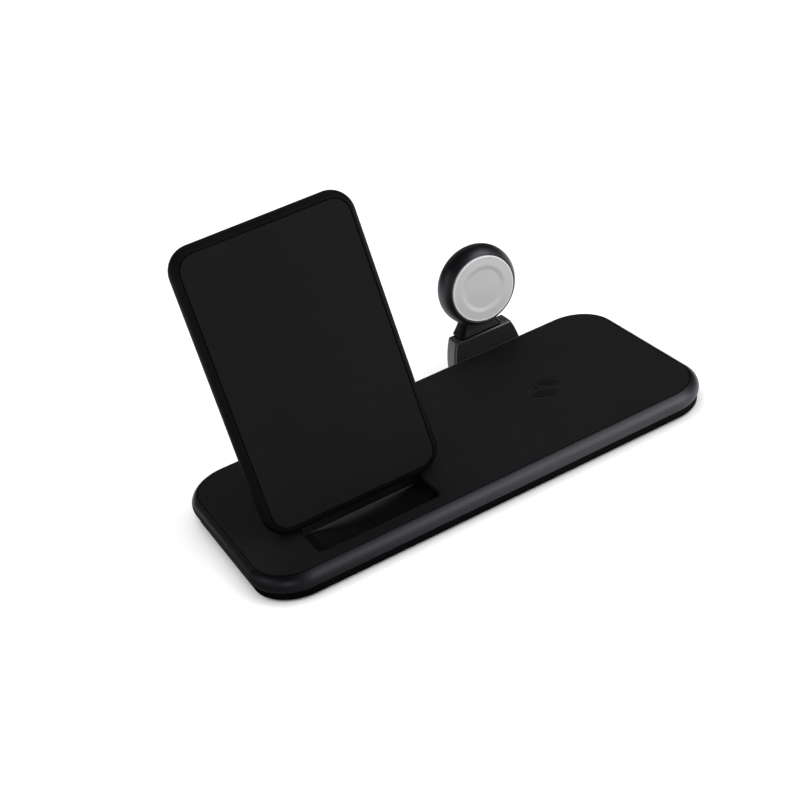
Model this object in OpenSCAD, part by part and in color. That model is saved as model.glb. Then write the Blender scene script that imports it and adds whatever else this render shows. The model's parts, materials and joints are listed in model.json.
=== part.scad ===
// Wireless charging station: a long flat base with a leaning phone stand at the left,
// a flat charging pad at the right and a watch charger that plugs into a socket at the rear.
// Millimetres, +Z up. Origin: centre of the base in plan, on the surface it stands on.
// +X along the length, -Y is the front, +Y the rear.

/* [Base] */
// Length of the base
base_l = 188.5; // [184:0.5:200]
// Depth of the base
base_d = 88; // [86:0.5:96]
// Corner radius of the base in plan
base_r = 18; // [14:0.5:22]
// Height of the top pad's surface above the bottom cover's underside
body_h = 9.5; // [9.5:0.1:11]
// How far the rubber mat stands out below the cover
mat_out = 1; // [0.6:0.1:2]
// Width of the rounded metal edge around the top pad
edge_w = 2.9; // [2.4:0.1:3.4]
// Radius of the rounded metal edge
edge_r = 4.4; // [4:0.1:4.8]
// Thickness of the top pad
pad_t = 1.5; // [1.2:0.1:1.8]

/* [Charging rings] */
// Position of the rings along the base
ring_x = 44; // [36:0.5:52]
// Position of the rings across the base
ring_y = -1; // [-6:0.5:4]
// Radius of the outermost ring
ring_r = 6.1; // [5:0.1:9]
// Depth of the debossed rings
ring_deep = 0.3; // [0.2:0.05:0.5]

/* [Hollow in front of the stand] */
// Position of the hollow along the base
tray_x = -45.2; // [-48:0.2:-42]
// Length of the hollow
tray_l = 49.5; // [40:0.5:52]
// Front edge of the hollow
tray_y0 = -35.7; // [-37:0.1:-33]
// Rear wall of the hollow
tray_y1 = -16.5; // [-18:0.1:-16]
// depth of the hollow at the foot of its rear wall
tray_step = 3.6; // [3:0.1:3.9]
// greatest depth of the hollow, at the middle of its trough
tray_deep = 6.4; // [5:0.1:6.4]
// radius of the trough along the base
tray_bow = 80; // [60:1:120]
// radius of the sweep from the trough up to the rear wall
tray_sweep = 6.6; // [5:0.1:8]

/* [Phone stand] */
// Position of the stand along the base
stand_x = -46; // [-50:0.5:-44]
// Width of the stand
stand_w = 70.6; // [66:0.2:74]
// Height of the stand, along its slope
stand_h = 108; // [96:1:120]
// Corner radius of the stand
stand_r = 9.3; // [8:0.1:12]
// Lean of the stand from the vertical, degrees
lean = 16.7; // [14:0.1:20]
// Thickness of the stand
stand_t = 9.5; // [9.5:0.1:11]

/* [Socket] */
// Position of the socket block along the base
block_x = 44.5; // [42:0.5:50]
// Width of the socket block at its foot
block_w = 31.6; // [30:0.2:34]
// Depth of the socket block, front to back
block_d = 7.8; // [7.4:0.1:9]
// Height of the socket block's top above the surface it all stands on
block_top = 18.1; // [17:0.1:20]
// Position of the slot along the base
slot_x = 43.6; // [43:0.1:45]
// Length of the slot
slot_l = 13.2; // [12.8:0.1:14]
// Width of the slot
slot_w = 3.3; // [3.2:0.05:3.6]

/* [Watch charger] */
// Diameter of the pale charging disc
disc_d = 28; // [27:0.5:29]
// Largest radius of the housing behind the disc
puck_r = 16.8; // [16.4:0.1:18]
// Thickness of the housing, front to back
puck_t = 10.4; // [10:0.1:11.4]
// Height of the tilt axis above the socket block
hinge_up = 14.5; // [14:0.1:16]
// Height of the disc's centre above the tilt axis
disc_up = 9; // [8.6:0.1:9.6]
// Width of the foot where it meets the socket block
foot_w = 19.4; // [18:0.2:22]
// Radius of the hinge pin
pin_r = 1.25; // [1:0.05:1.5]

/* [Hidden] */
$fn = 96;

under = mat_out;                     // underside of the bottom cover
top = mat_out + body_h;              // surface of the top pad
seam = under + 3.3;                  // joint between cover and metal rim
eq = top - 4.1;                      // height at which the metal rim is widest
rim_w = 5;                           // full width of the metal rim's section
floor_t = 1.6;                       // thickness of the cover's floor
in_z = under + floor_t;              // inside floor level
ledge = top - pad_t;                 // level the top pad rests on

inlet_x = 0;                         // power inlet along the base
inlet_z = 5.6;                       // its centre height

screw_at = [[-86.5, -29], [-86.5, 29], [-3, -37], [-24, 37], [86.5, -29], [86.5, 29]];
bscrew_at = [[stand_x - 14, -0.5], [stand_x + 14, -0.5], [block_x - 8, 35], [block_x + 8, 35]];
boss_z = in_z + 1;                   // level of the bosses under strut and socket block

stand_y = -22.32;                    // front plane of the stand at its foot
stand_z = top + 1.77;                // same point's height, lower edge just above the top pad

block_y0 = base_d / 2 - 1.5;         // front face of the socket block
slot_y = block_y0 + 4.4;
hinge_y = block_y0 + 5.3;
hinge_z = block_top + hinge_up;
disc_fwd = puck_t + 3.9;             // disc plane in front of the tilt axis

// ---------- shared shapes ----------

// rounded rectangle in plan
module rrect(l, d, r) {
    square([l - 2 * r, d], center = true);
    square([l, d - 2 * r], center = true);
    for (sx = [-1, 1], sy = [-1, 1]) translate([sx * (l / 2 - r), sy * (d / 2 - r)]) circle(r = r);
}

// carries a section around a rounded rectangle; the section's x is the distance in from the outline
module around(l, d, r) {
    for (a = [0, 180]) rotate([0, 0, a]) translate([-(l / 2 - r), -d / 2, 0])
        rotate([90, 0, 90]) linear_extrude(l - 2 * r) children();
    for (a = [90, 270]) rotate([0, 0, a]) translate([-(d / 2 - r), -l / 2, 0])
        rotate([90, 0, 90]) linear_extrude(d - 2 * r) children();
    for (c = [[1, 1, 0], [-1, 1, 90], [-1, -1, 180], [1, -1, 270]])
        translate([c[0] * (l / 2 - r), c[1] * (d / 2 - r), 0]) rotate([0, 0, c[2]])
            rotate_extrude(angle = 90) translate([r, 0]) mirror([1, 0]) children();
}

// section of a metal rim: rounded outside, ledge for the plate inside; heights grow towards the face
module rim_section(z_low, z_eq, z_top, z_ledge) {
    translate([edge_w - 0.5, z_low]) square([rim_w - edge_w + 0.5, z_ledge - z_low]);
    intersection() {
        translate([edge_r, z_eq]) circle(r = edge_r);
        translate([0, z_low]) square([edge_w, z_top - z_low]);
    }
}

module flat_coil(r_in, r_out, t) {
    rotate_extrude() translate([r_in, 0]) square([r_out - r_in, t]);
}

// countersunk screw standing on its head, shank upwards
module screw(r, head_r, len) {
    rotate_extrude() polygon([[0, 0.9], [0.9, 0.9], [0.9, 0], [head_r, 0], [head_r, 0.5], [r, 0.5 + head_r - r], [r, len], [0, len]]);
}
module screw_hole(r, head_r, len) {
    rotate_extrude() polygon([[0, -0.2], [head_r + 0.1, -0.2], [head_r + 0.1, 0.5], [r + 0.05, 0.5 + head_r - r + 0.05], [r + 0.05, len], [0, len]]);
}

// places its children in the leaning stand's own frame: x across, z up the slope, y from front to back
module on_stand() {
    translate([stand_x, stand_y, stand_z]) rotate([-lean, 0, 0]) children();
}
// stand frame turned so that a plan outline (x, slope) grows towards the front face
module stand_plan() {
    on_stand() translate([0, stand_t, stand_h / 2]) rotate([90, 0, 0]) children();
}

// places its children in the puck's frame: z forward out of the disc, origin at the disc plane's centre
module on_puck() {
    translate([slot_x, hinge_y - disc_fwd, hinge_z + disc_up]) rotate([90, 0, 0]) children();
}

// outline of the socket block seen from the front, x from its centre
module block_front(grow = 0) {
    intersection() {
        translate([-20, -grow + 1.8]) square([40, block_top - 1.8 + 2 * grow]);
        translate([block_w / 2 - 38, 3]) circle(r = 38 + grow);
        translate([38 - block_w / 2, 3]) circle(r = 38 + grow);
    }
}
module block_solid(grow = 0, y0 = 0, y1 = 0) {
    translate([block_x, block_y0 + block_d + y1, 0]) rotate([90, 0, 0])
        linear_extrude(block_d + y1 - y0) block_front(grow);
}

// ---------- base ----------

module base_frame() color([0.27, 0.27, 0.31]) difference() {
    union() {
        around(base_l, base_d, base_r) rim_section(seam, eq, top, ledge);
        // screw lugs inside the rim
        for (p = screw_at) translate([p[0], p[1], seam]) cylinder(r = 2.9, h = ledge - seam);
    }
    for (p = screw_at) translate([p[0], p[1], seam - 1]) cylinder(r = 1.3, h = 5);
    // notch for the socket block
    block_solid(0.1, 0, 1);
    translate([block_x - 12.2, base_d / 2 - 6, seam - 1]) cube([24.4, 7, 4.1]);
    // opening for the power inlet
    translate([inlet_x, base_d / 2 - 7, inlet_z]) rotate([-90, 0, 0])
        linear_extrude(9) { square([5.9, 3.7], center = true);
            for (s = [-1, 1]) translate([s * 2.95, 0]) circle(r = 1.85); }
}

module top_pad() color([0.1, 0.1, 0.105]) difference() {
    translate([0, 0, ledge]) linear_extrude(pad_t)
        rrect(base_l - 2 * edge_w - 0.06, base_d - 2 * edge_w - 0.06, base_r - edge_w - 0.03);
    // opening for the hollow
    translate([tray_x, (tray_y0 + tray_y1) / 2, ledge - 1]) linear_extrude(pad_t + 2)
        rrect(tray_l + 0.04, tray_y1 - tray_y0 + 0.04, 2.62);
    // slot for the stand's strut
    translate([stand_x - 20.3, -13.9, ledge - 1]) cube([40.6, 5.6, pad_t + 2]);
    // three concentric rings
    for (k = [1, 0.73, 0.51]) translate([ring_x, ring_y, top - ring_deep])
        rotate_extrude() translate([ring_r * k - 0.5, 0]) square([0.5, 1]);
}

module recess_tray() color([0.04, 0.04, 0.045]) difference() {
    union() {
        translate([tray_x, (tray_y0 + tray_y1) / 2, ledge]) linear_extrude(pad_t - 0.1)
            rrect(tray_l, tray_y1 - tray_y0, 2.6);
        translate([tray_x, (tray_y0 + tray_y1) / 2, top - tray_deep - 0.8])
            linear_extrude(tray_deep + 0.8 - pad_t) rrect(tray_l + 0.6, tray_y1 - tray_y0 + 0.4, 2.8);
    }
    // well down to the foot of the rear wall
    translate([tray_x, (tray_y0 + tray_y1) / 2, top - tray_step]) linear_extrude(10)
        rrect(tray_l - 1.2, tray_y1 - tray_y0 - 1.2, 2.0);
    // below it a trough that is deepest in the middle and sweeps up to the rear wall
    intersection() {
        translate([tray_x, (tray_y0 + tray_y1) / 2, top - tray_deep]) linear_extrude(tray_deep)
            rrect(tray_l - 1.2, tray_y1 - tray_y0 - 1.2, 2.0);
        translate([tray_x + 1.2, (tray_y0 + tray_y1) / 2, top - tray_deep + tray_bow]) rotate([90, 0, 0])
            cylinder(r = tray_bow, h = 60, center = true, $fn = 720);
        union() {
            translate([tray_x, tray_y1 - 6, top - tray_deep + tray_sweep]) rotate([0, 90, 0])
                cylinder(r = tray_sweep, h = tray_l + 10, center = true, $fn = 360);
            translate([tray_x - tray_l, tray_y0 - 5, top - tray_deep]) cube([2 * tray_l, tray_y1 - 6 - tray_y0 + 5, 20]);
        }
    }
}

module bottom_cover() color([0.045, 0.045, 0.05]) difference() {
    union() {
        around(base_l, base_d, base_r) polygon([[0.75, seam], [1.25, under], [rim_w, under], [rim_w, seam]]);
        translate([0, 0, under]) linear_extrude(floor_t) rrect(base_l - 9, base_d - 9, base_r - 4.5);
        for (p = screw_at) translate([p[0], p[1], under]) cylinder(r = 3.4, h = seam - under);
        // posts under the circuit board
        for (x = [-11, 13], y = [-28, 26]) translate([x, y, under + 0.5]) cylinder(r = 2.4, h = 4.6 - under - 0.5);
        // bosses of the strut's and the socket block's screws
        for (p = bscrew_at) translate([p[0], p[1], under]) cylinder(r = 4.4, h = boss_z - under);
    }
    // shallow seat of the rubber mat
    translate([0, 0, under - 1]) linear_extrude(1.5) rrect(base_l - 12, base_d - 12, base_r - 6);
    for (p = screw_at) translate([p[0], p[1], under + 0.5]) screw_hole(1.25, 2.4, 5);
    for (p = bscrew_at) translate([p[0], p[1], under + 0.5]) screw_hole(1.5, 2.9, 5);
    // lower half of the power inlet's opening
    translate([inlet_x, base_d / 2 - 7, inlet_z]) rotate([-90, 0, 0])
        linear_extrude(9) { square([5.9, 3.7], center = true);
            for (s = [-1, 1]) translate([s * 2.95, 0]) circle(r = 1.85); }
    block_solid(0.1, 0, 1);
    // seat of the socket block's tongue
    translate([block_x - 12.2, 30, boss_z]) cube([24.4, 16, 10]);
}

module grip_mat() color([0.07, 0.07, 0.07])
    linear_extrude(mat_out + 0.45) rrect(base_l - 12.6, base_d - 12.6, base_r - 6.3);

module cover_screws() color([0.35, 0.35, 0.36])
    for (p = screw_at) translate([p[0], p[1], under + 0.55]) screw(1.25, 2.35, 6);

module ballast_plate() color([0.5, 0.5, 0.52])
    translate([-50, 23.4, in_z]) linear_extrude(4) difference() {
        rrect(64, 25, 3);
        translate([26, 13.6]) circle(r = 4.2);
    }

module main_board() color([0.05, 0.2, 0.12]) difference() {
    union() {
        translate([-16, -33.5, 4.6]) cube([34, 68, 1.2]);
        translate([inlet_x - 8, 33, 4.6]) cube([16, 5.5, 1.2]);
        translate([-8, -20, 5.8]) cube([9, 9, 1.4]);
        translate([5, -8, 5.8]) cube([6, 6, 1]);
        translate([-9, 4, 5.8]) cube([7, 5, 2.4]);
        translate([4, 8, 5.8]) cube([7, 7, 2.6]);
        for (y = [-27, -20, -13]) translate([11.5, y, 5.8]) cylinder(r = 1.8, h = 2.4);
    }
    for (x = [-11, 13], y = [-28, 26]) translate([x, y, 4]) cylinder(r = 0.8, h = 3);
    translate([inlet_x, base_d / 2 - 7.9, inlet_z + 0.1]) rotate([-90, 0, 0]) linear_extrude(7.3) {
        square([5.7, 3.2], center = true);
        for (s = [-1, 1]) translate([s * 2.85, 0]) circle(r = 1.6);
    }
}

module power_inlet() color([0.62, 0.62, 0.64])
    translate([inlet_x, base_d / 2 - 7.9, inlet_z + 0.1]) rotate([-90, 0, 0]) difference() {
        linear_extrude(7.3) { square([5.7, 3.2], center = true);
            for (s = [-1, 1]) translate([s * 2.85, 0]) circle(r = 1.6); }
        translate([0, 0, 1]) linear_extrude(7) { square([5.7, 2.6], center = true);
            for (s = [-1, 1]) translate([s * 2.85, 0]) circle(r = 1.3); }
    }

module inlet_tongue() color([0.08, 0.08, 0.08])
    translate([inlet_x, base_d / 2 - 6.9, inlet_z + 0.1]) rotate([-90, 0, 0])
        linear_extrude(5.2) square([6.6, 0.7], center = true);

module pad_coil() color([0.72, 0.4, 0.2])
    translate([ring_x, ring_y, ledge - 1.5]) flat_coil(10, 21.5, 1.4);

module pad_ferrite() color([0.25, 0.25, 0.26])
    translate([ring_x, ring_y, ledge - 2.4]) linear_extrude(0.9) rrect(48, 48, 3);

module pad_carrier() color([0.16, 0.16, 0.17]) difference() {
    translate([ring_x, ring_y, in_z]) linear_extrude(ledge - 2.4 - in_z) rrect(50, 50, 4);
    translate([ring_x, ring_y, in_z - 1]) linear_extrude(ledge) rrect(42, 42, 3);
}

// ---------- phone stand ----------

module stand_bracket() color([0.2, 0.2, 0.22]) difference() {
    union() {
        // plate on the cover's floor
        translate([stand_x - 20, -14.4, boss_z]) cube([40, 20.4, 2.6]);
        // leaning strut behind the stand
        intersection() {
            on_stand() translate([-20, stand_t, -12]) cube([40, 4, 60]);
            translate([stand_x - 30, -40, boss_z]) cube([60, 80, 100]);
        }
        on_stand() translate([0, stand_t + 4, 48]) rotate([90, 0, 0])
            linear_extrude(4) intersection() {
                union() { translate([-12, -8]) square([24, 16]); translate([-20, -8]) square([40, 8.2]);
                    for (s = [-1, 1]) translate([s * 12, 0]) circle(r = 8); }
                translate([-20, -8]) square([40, 16]);
            }
    }
    for (p = bscrew_at) translate([p[0], p[1], boss_z - 0.5]) cylinder(r = 1.55, h = 5);
    for (x = [-12, 12], z = [16, 46]) on_stand() translate([x, stand_t + 4, z]) rotate([90, 0, 0])
        screw_hole(1.5, 2.7, 9);
}

module base_screws() color([0.35, 0.35, 0.36])
    for (p = bscrew_at) translate([p[0], p[1], under + 0.55]) screw(1.5, 2.85, 4);

module bracket_screws() color([0.3, 0.3, 0.31])
    for (x = [-12, 12], z = [16, 46]) on_stand() translate([x, stand_t + 3.95, z])
        rotate([90, 0, 0]) screw(1.5, 2.65, 7.2);

module stand_frame() color([0.2, 0.2, 0.23])
    stand_plan() around(stand_w, stand_h, stand_r)
        rim_section(stand_t - 6.2, stand_t - 4.1, stand_t, stand_t - pad_t);

module stand_pad() color([0.1, 0.1, 0.105])
    stand_plan() translate([0, 0, stand_t - pad_t]) linear_extrude(pad_t)
        rrect(stand_w - 2 * edge_w - 0.06, stand_h - 2 * edge_w - 0.06, stand_r - edge_w - 0.03);

module stand_back() color([0.06, 0.06, 0.065]) difference() {
    stand_plan() union() {
        around(stand_w, stand_h, stand_r) polygon([[0.75, stand_t - 6.2], [2.2, 0.8], [3, 0], [rim_w, 0], [rim_w, stand_t - 6.2]]);
        linear_extrude(2) rrect(stand_w - 9.5, stand_h - 9.5, stand_r - 4.75);
        // posts that the strut's screws enter
        for (x = [-12, 12], z = [16, 46]) translate([x, z - stand_h / 2, 0]) cylinder(r = 3.2, h = 4.3);
    }
    for (x = [-12, 12], z = [16, 46]) on_stand() translate([x, stand_t + 0.5, z]) rotate([90, 0, 0])
        cylinder(r = 1.55, h = 4);
}

module upper_coil() color([0.72, 0.4, 0.2])
    stand_plan() translate([0, 18, stand_t - pad_t - 1.5]) flat_coil(10, 22, 1.4);

module lower_coil() color([0.72, 0.4, 0.2])
    stand_plan() translate([0, -26.4, stand_t - pad_t - 1.5]) flat_coil(10, 22, 1.4);

module stand_ferrite() color([0.25, 0.25, 0.26])
    stand_plan() translate([0, -1, stand_t - pad_t - 2.4]) linear_extrude(0.9) rrect(50, 93, 3);

module coil_carrier() color([0.16, 0.16, 0.17])
    stand_plan() translate([0, -1, stand_t - pad_t - 3.6]) linear_extrude(1.2) rrect(56, 94, 4);

// ---------- socket ----------

module socket_block() color([0.6, 0.6, 0.63]) difference() {
    union() {
        block_solid(0, 1.3, 0);
        // tongue that reaches into the base
        translate([block_x - 12, 31, boss_z]) cube([24, 13.5, seam + 3 - boss_z]);
    }
    for (p = bscrew_at) translate([p[0], p[1], boss_z - 0.5]) cylinder(r = 1.55, h = 3.4);
    // well of the liner, slot above it
    translate([slot_x - slot_l / 2 - 1, slot_y - slot_w / 2 - 0.9, block_top - 11.4]) cube([slot_l + 2, slot_w + 1.8, 10]);
    translate([slot_x - slot_l / 2, slot_y - slot_w / 2, block_top - 3]) cube([slot_l, slot_w, 6]);
}

module socket_front() color([0.1, 0.1, 0.11]) difference() {
    translate([block_x, block_y0 + 1.3, 0]) rotate([90, 0, 0]) linear_extrude(1.3) intersection() {
        block_front(-0.15);
        translate([-20, seam + 3.2]) square([40, 20]);
    }
    // chamfered upper edge, and the groove behind it
    translate([block_x - 20, block_y0, block_top - 0.75]) rotate([45, 0, 0]) translate([0, -1, 0]) cube([40, 1, 1.6]);
    translate([block_x - 20, block_y0 + 0.75, block_top - 0.6]) cube([40, 2, 2]);
}

module socket_liner() color([0.02, 0.02, 0.02]) difference() {
    translate([slot_x - slot_l / 2 - 1, slot_y - slot_w / 2 - 0.9, block_top - 11.4])
        cube([slot_l + 2, slot_w + 1.8, 10]);
    translate([slot_x - slot_l / 2, slot_y - slot_w / 2, block_top - 10.4]) cube([slot_l, slot_w, 12]);
}

module socket_contacts() color([0.8, 0.65, 0.3])
    for (k = [-1.5, -0.5, 0.5, 1.5]) translate([slot_x + k * 2.6 - 0.5, slot_y - slot_w / 2, block_top - 10.4]) cube([1, 0.12, 6.4]);

// ---------- watch charger ----------

module watch_foot() color([0.08, 0.08, 0.09]) difference() {
    union() {
        intersection() {
            // seen from the front: flared
            translate([slot_x, block_y0 + 12, block_top]) rotate([90, 0, 0]) linear_extrude(14)
                polygon([[-foot_w / 2, 0], [foot_w / 2, 0], [foot_w / 2, 0.8], [4.5, 10.4], [4.5, hinge_up], [-4.5, hinge_up], [-4.5, 10.4], [-foot_w / 2, 0.8]]);
            // seen from the side: waisted below the knuckle
            translate([slot_x - 15, 0, 0]) rotate([90, 0, 90]) linear_extrude(30)
                polygon([[block_y0 + 0.2, block_top], [block_y0 + 8.6, block_top], [block_y0 + 8.8, block_top + 0.8],
                         [block_y0 + 7.4, block_top + 7], [hinge_y + 3.5, hinge_z], [hinge_y - 3.3, hinge_z],
                         [hinge_y - 2.6, block_top + 9], [block_y0 + 1.6, block_top + 5], [block_y0 + 0.2, block_top + 0.8]]);
        }
        // knuckle
        translate([slot_x - 4.5, hinge_y, hinge_z]) rotate([0, 90, 0]) cylinder(r = 3.5, h = 9);
    }
    translate([slot_x - 6, hinge_y, hinge_z]) rotate([0, 90, 0]) cylinder(r = pin_r, h = 12);
    // pocket of the plug blade
    translate([slot_x - 6.3, slot_y - 1.45, block_top - 1]) cube([12.6, 2.9, 4]);
}

module plug_blade() color([0.1, 0.1, 0.1]) difference() {
    translate([slot_x - 6.3, slot_y - 1.45, block_top - 9]) cube([12.6, 2.9, 12]);
    for (k = [-1.5, -0.5, 0.5, 1.5]) translate([slot_x + k * 2.6 - 0.7, slot_y - 1.6, block_top - 8]) cube([1.4, 0.55, 6]);
}

module plug_contacts() color([0.85, 0.68, 0.32])
    for (k = [-1.5, -0.5, 0.5, 1.5]) translate([slot_x + k * 2.6 - 0.7, slot_y - 1.4, block_top - 8]) cube([1.4, 0.35, 6]);

module hinge_pin() color([0.6, 0.6, 0.62])
    translate([slot_x - 7.6, hinge_y, hinge_z]) rotate([0, 90, 0]) cylinder(r = pin_r, h = 15.2);

module puck_shell() color([0.1, 0.1, 0.11]) difference() {
    union() {
        on_puck() rotate_extrude() {
            intersection() {
                translate([puck_r - 7.33, 4.2 - puck_t]) circle(r = 7.33);
                translate([0, 4.2 - puck_t]) square([30, puck_t - 4.7]);
            }
            intersection() {
                translate([puck_r - 4.2, 4.2 - puck_t]) circle(r = 4.2);
                translate([0, -puck_t]) square([30, 4.3]);
            }
            translate([0, -puck_t]) square([puck_r - 4.2, puck_t - 0.5]);
        }
        // hinge lugs
        for (s = [-1, 1]) translate([slot_x + (s > 0 ? 4.8 : -7.8), 0, 0]) {
            translate([0, hinge_y, hinge_z]) rotate([0, 90, 0]) cylinder(r = 3.5, h = 3);
            translate([0, hinge_y - disc_fwd + puck_t - 1, hinge_z - 3.5]) cube([3, 4.9, 7]);
        }
    }
    // seat of the disc
    on_puck() translate([0, 0, -1.8]) cylinder(r = disc_d / 2 + 0.02, h = 3);
    // inside
    on_puck() translate([0, 0, -puck_t + 1.6]) cylinder(r = 13, h = puck_t);
    for (s = [-1, 1]) translate([slot_x + (s > 0 ? 4 : -9), hinge_y, hinge_z]) rotate([0, 90, 0]) cylinder(r = pin_r + 0.05, h = 5);
}

module puck_face() color([0.82, 0.82, 0.84]) on_puck() {
    rotate_extrude() difference() {
        union() {
            translate([0, -1.8]) square([disc_d / 2, 1.4]);
            translate([0, -0.6]) square([disc_d / 2 - 0.4, 0.6]);
        }
        // shallow hollow
        translate([0, 150 - 0.45]) circle(r = 150, $fn = 1440);
    }
}

module puck_coil() color([0.72, 0.4, 0.2]) on_puck() translate([0, 0, -3.3]) flat_coil(8, 12.5, 1.4);

module puck_magnet() color([0.6, 0.6, 0.62]) on_puck() translate([0, 0, -5.2]) cylinder(r = 6.5, h = 3.3);

module puck_holder() color([0.16, 0.16, 0.17]) on_puck() rotate_extrude() {
    translate([0, 1.6 - puck_t]) square([12.95, puck_t - 1.6 - 5.2]);
    translate([6.55, -6]) square([6.4, 2.7]);
}

base_frame();
top_pad();
recess_tray();
bottom_cover();
grip_mat();
cover_screws();
ballast_plate();
main_board();
power_inlet();
inlet_tongue();
pad_coil();
pad_ferrite();
pad_carrier();
stand_bracket();
base_screws();
bracket_screws();
stand_frame();
stand_pad();
stand_back();
upper_coil();
lower_coil();
stand_ferrite();
coil_carrier();
socket_block();
socket_front();
socket_liner();
socket_contacts();
watch_foot();
plug_blade();
plug_contacts();
hinge_pin();
puck_shell();
puck_face();
puck_coil();
puck_magnet();
puck_holder();
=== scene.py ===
import bpy, bmesh, json, math
from mathutils import Matrix, Vector


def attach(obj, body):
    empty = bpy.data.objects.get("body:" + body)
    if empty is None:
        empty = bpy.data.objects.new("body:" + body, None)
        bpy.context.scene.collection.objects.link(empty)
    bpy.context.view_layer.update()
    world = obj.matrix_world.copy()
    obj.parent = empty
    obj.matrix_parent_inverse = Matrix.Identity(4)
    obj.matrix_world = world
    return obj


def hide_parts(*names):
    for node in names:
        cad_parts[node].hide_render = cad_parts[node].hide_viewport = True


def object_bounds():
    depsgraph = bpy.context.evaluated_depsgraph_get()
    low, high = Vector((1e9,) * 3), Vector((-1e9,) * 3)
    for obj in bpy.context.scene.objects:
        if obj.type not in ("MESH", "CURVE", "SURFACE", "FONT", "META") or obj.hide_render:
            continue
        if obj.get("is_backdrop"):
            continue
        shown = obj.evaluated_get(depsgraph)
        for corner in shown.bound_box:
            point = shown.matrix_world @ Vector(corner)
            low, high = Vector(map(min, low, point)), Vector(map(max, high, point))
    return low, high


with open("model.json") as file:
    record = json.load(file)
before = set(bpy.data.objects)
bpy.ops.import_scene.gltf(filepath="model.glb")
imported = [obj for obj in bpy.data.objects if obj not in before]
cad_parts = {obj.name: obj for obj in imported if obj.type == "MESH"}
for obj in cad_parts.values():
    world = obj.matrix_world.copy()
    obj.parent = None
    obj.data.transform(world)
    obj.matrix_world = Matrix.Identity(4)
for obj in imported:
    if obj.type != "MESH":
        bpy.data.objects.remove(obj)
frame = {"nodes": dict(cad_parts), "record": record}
cad_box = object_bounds()
MM = 0.001
pi = math.pi

# ------------------------------------------------------------------ sizes, in mm, as in the CAD
BASE_L, BASE_D, BASE_R = 188.5, 88.0, 18.0
UNDER, TOP, SEAM, EQ, LEDGE = 1.0, 10.5, 4.3, 6.4, 9.0
EDGE_W, EDGE_R, RIM_W, PAD_T = 2.9, 4.4, 5.0, 1.5
RING = (44.0, -1.0)
TRAY_X, TRAY_L, TRAY_Y0, TRAY_Y1, TRAY_STEP, TRAY_DEEP = -45.2, 49.5, -35.7, -16.5, 3.6, 6.4
ST_X, ST_Y, ST_Z, ST_W, ST_H, ST_R, ST_T = -46.0, -22.32, TOP + 1.77, 70.6, 108.0, 9.3, 9.5
LEAN = math.radians(16.7)
BL_X, BL_Y, BL_D, BL_W, BL_TOP = 44.5, 42.5, 7.8, 31.6, 18.1
SL_X, SL_Y, SL_L, SL_W = 43.6, 46.9, 13.2, 3.3
HG_Y, HG_Z = 47.8, 32.6
PK_T, PK_FWD, PK_UP, PK_R, DISC_R = 10.4, 14.3, 9.0, 16.8, 14.0

# ------------------------------------------------------------------ places of the leaning stand and of the disc
STAND = Matrix.Translation((ST_X, ST_Y, ST_Z)) @ Matrix.Rotation(-LEAN, 4, "X")
STAND_PLAN = STAND @ Matrix.Translation((0, ST_T, ST_H / 2)) @ Matrix.Rotation(pi / 2, 4, "X")
PUCK = Matrix.Translation((SL_X, HG_Y - PK_FWD, HG_Z + PK_UP)) @ Matrix.Rotation(pi / 2, 4, "X")


# ------------------------------------------------------------------ mesh helpers
def make(name, bm, body, at=None, mats=(), replaces=(), sharp=32.0):
    bmesh.ops.remove_doubles(bm, verts=bm.verts, dist=0.002)
    bmesh.ops.recalc_face_normals(bm, faces=bm.faces)
    m = Matrix.Scale(MM, 4)
    if at is not None:
        m = m @ at
    bm.transform(m)
    me = bpy.data.meshes.new(name)
    bm.to_mesh(me)
    bm.free()
    for f in me.polygons:
        f.use_smooth = True
    me.set_sharp_from_angle(angle=math.radians(sharp))
    for x in mats:
        me.materials.append(x)
    o = bpy.data.objects.new(name, me)
    bpy.context.scene.collection.objects.link(o)
    md = o.modifiers.new("w", "WEIGHTED_NORMAL")
    md.mode, md.weight, md.keep_sharp = "FACE_AREA", 50, True
    apply_mods(o)
    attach(o, body)
    if replaces:
        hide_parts(*replaces)
    return o


def rr(l, d, r, seg=20):
    """rounded rectangle: (x, y, outward normal) anticlockwise"""
    out = []
    for sx, sy, a0 in ((1, 1, 0), (-1, 1, 90), (-1, -1, 180), (1, -1, 270)):
        cx, cy = sx * (l / 2 - r), sy * (d / 2 - r)
        for i in range(seg + 1):
            a = math.radians(a0 + 90.0 * i / seg)
            out.append((cx + r * math.cos(a), cy + r * math.sin(a), math.cos(a), math.sin(a)))
    return out


def sweep(bm, outline, profile, closed=True, ox=0.0, oy=0.0, zfun=None, mat_of=None):
    """carries (inset, z) points around an outline; returns the loops of vertices, one per profile point"""
    loops = []
    for k, (ins, z) in enumerate(profile):
        row = []
        for x, y, nx, ny in outline:
            px, py = ox + x - ins * nx, oy + y - ins * ny
            row.append(bm.verts.new((px, py, z if zfun is None else zfun(px, py, k, z))))
        loops.append(row)
    n, m = len(outline), len(profile)
    for k in range(m if closed else m - 1):
        a, b = loops[k], loops[(k + 1) % m]
        for i in range(n):
            j = (i + 1) % n
            f = bm.faces.new((a[i], a[j], b[j], b[i]))
            if mat_of:
                f.material_index = mat_of[k]
    return loops


def cap(bm, loop, mi=0):
    f = bm.faces.new(loop)
    f.material_index = mi
    return f


def fill(bm, loops, z, mi=0):
    """plane face between loops of (x, y)"""
    edges = []
    for lp in loops:
        vs = [bm.verts.new((x, y, z)) for x, y in lp]
        edges += [bm.edges.new((vs[i], vs[(i + 1) % len(vs)])) for i in range(len(vs))]
    r = bmesh.ops.triangle_fill(bm, use_beauty=True, use_dissolve=False, edges=edges, normal=(0, 0, 1))
    for g in r["geom"]:
        if isinstance(g, bmesh.types.BMFace):
            g.material_index = mi


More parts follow.
